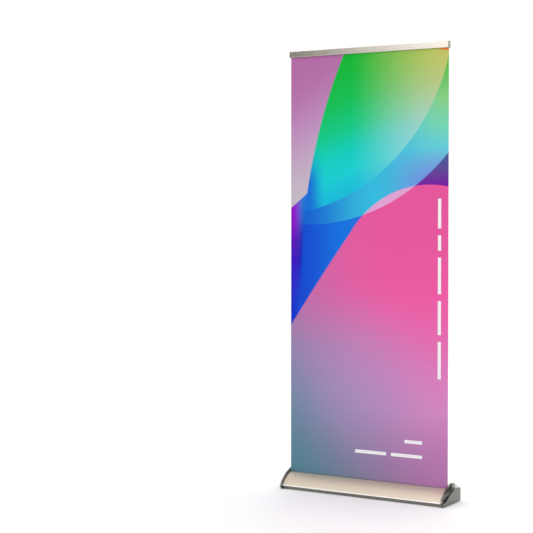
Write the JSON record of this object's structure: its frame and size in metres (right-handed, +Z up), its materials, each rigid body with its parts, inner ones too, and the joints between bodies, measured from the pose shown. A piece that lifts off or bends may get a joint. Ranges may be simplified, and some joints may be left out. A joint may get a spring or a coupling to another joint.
{
  "type": "roll-up banner stand",
  "caption": "Free-standing roll-up banner stand: wide floor base with a spring roller, telescopic pole, printed sheet and snap-open clamp rail.",
  "frame": {"origin": "on the floor, under the middle of the base", "axes": "+X to the viewer's right, -Y towards the viewer of the print, +Z up"},
  "size_m": [0.885, 0.205, 2.1683],
  "materials": {
    "anodised_aluminium": "satin anodised, warm silver",
    "tray_aluminium": "dark anodised",
    "mill_aluminium": "drawn tube, clear anodised",
    "chromed_plastic": "chrome plated ABS",
    "zinc_steel": "zinc plated",
    "spring_steel": "oiled",
    "black_plastic": "moulded, fine grain",
    "grey_plastic": "moulded",
    "grey_pvc": "extruded",
    "natural_acetal": "turned",
    "black_rubber": "moulded",
    "leader_film": "plain film",
    "printed_film": "satin printed film"
  },
  "bodies": {
    "base": {"base_tray": "tray_aluminium", "front_cover": "anodised_aluminium", "rear_cover": "anodised_aluminium", "slot_trim_front": "grey_pvc", "slot_trim_rear": "grey_pvc", "end_plate_left": "zinc_steel", "end_plate_right": "zinc_steel", "end_plate_screws": "zinc_steel", "end_cap_left": "chromed_plastic", "end_cap_right": "chromed_plastic", "foot_pads": "black_rubber", "pole_socket": "black_plastic", "socket_screws": "zinc_steel", "idle_pin": "zinc_steel", "spring_arbor": "zinc_steel", "spring_collar": "zinc_steel", "torsion_spring": "spring_steel", "banner": "printed_film", "pole_foot_plug": "black_plastic", "pole_lower_tube": "mill_aluminium"},
    "roller": {"roller_tube": "mill_aluminium", "banner_leader": "leader_film", "roller_plug_left": "black_plastic", "roller_plug_right": "black_plastic", "roller_bush": "natural_acetal", "spring_anchor": "black_plastic"},
    "lower_collar": {"lock_collar_lower": "black_plastic"},
    "middle_pole": {"pole_middle_tube": "mill_aluminium", "guide_bush_middle": "natural_acetal"},
    "upper_collar": {"lock_collar_upper": "black_plastic"},
    "upper_pole": {"pole_upper_tube": "mill_aluminium", "guide_bush_upper": "natural_acetal", "pole_top_hook": "black_plastic", "rail_body": "anodised_aluminium", "rail_cap_left": "grey_plastic", "rail_cap_right": "grey_plastic"},
    "jaw": {"rail_jaw": "anodised_aluminium", "rail_grip_strip": "black_rubber"}
  },
  "joints": [
    {"name": "middle_pole_slide", "type": "slide", "parent": "base", "child": "middle_pole", "axis": [0, 0, 1], "range_m": [-0.62, 0], "deforming": ["banner"]},
    {"name": "upper_pole_slide", "type": "slide", "parent": "middle_pole", "child": "upper_pole", "axis": [0, 0, 1], "range_m": [-0.62, 0]},
    {"name": "roller_spin", "type": "hinge", "parent": "base", "child": "roller", "pos_m": [0, -0.03, 0.036], "axis": [1, 0, 0], "range_deg": [-3840, 0]},
    {"name": "lower_collar_twist", "type": "hinge", "parent": "base", "child": "lower_collar", "pos_m": [0, 0.012, 0.76], "axis": [0, 0, 1], "range_deg": [0, 90]},
    {"name": "upper_collar_twist", "type": "hinge", "parent": "middle_pole", "child": "upper_collar", "pos_m": [0, 0.012, 1.44], "axis": [0, 0, 1], "range_deg": [0, 90]},
    {"name": "jaw_snap", "type": "hinge", "parent": "upper_pole", "child": "jaw", "pos_m": [0, -0.0166, 2.1638], "axis": [-1, 0, 0], "range_deg": [0, 35]}
  ],
  "couplings": [
    {"joint": "upper_pole_slide", "follows": "middle_pole_slide", "ratio": 1},
    {"joint": "roller_spin", "follows": "middle_pole_slide", "rad_per_m": 107.5}
  ]
}
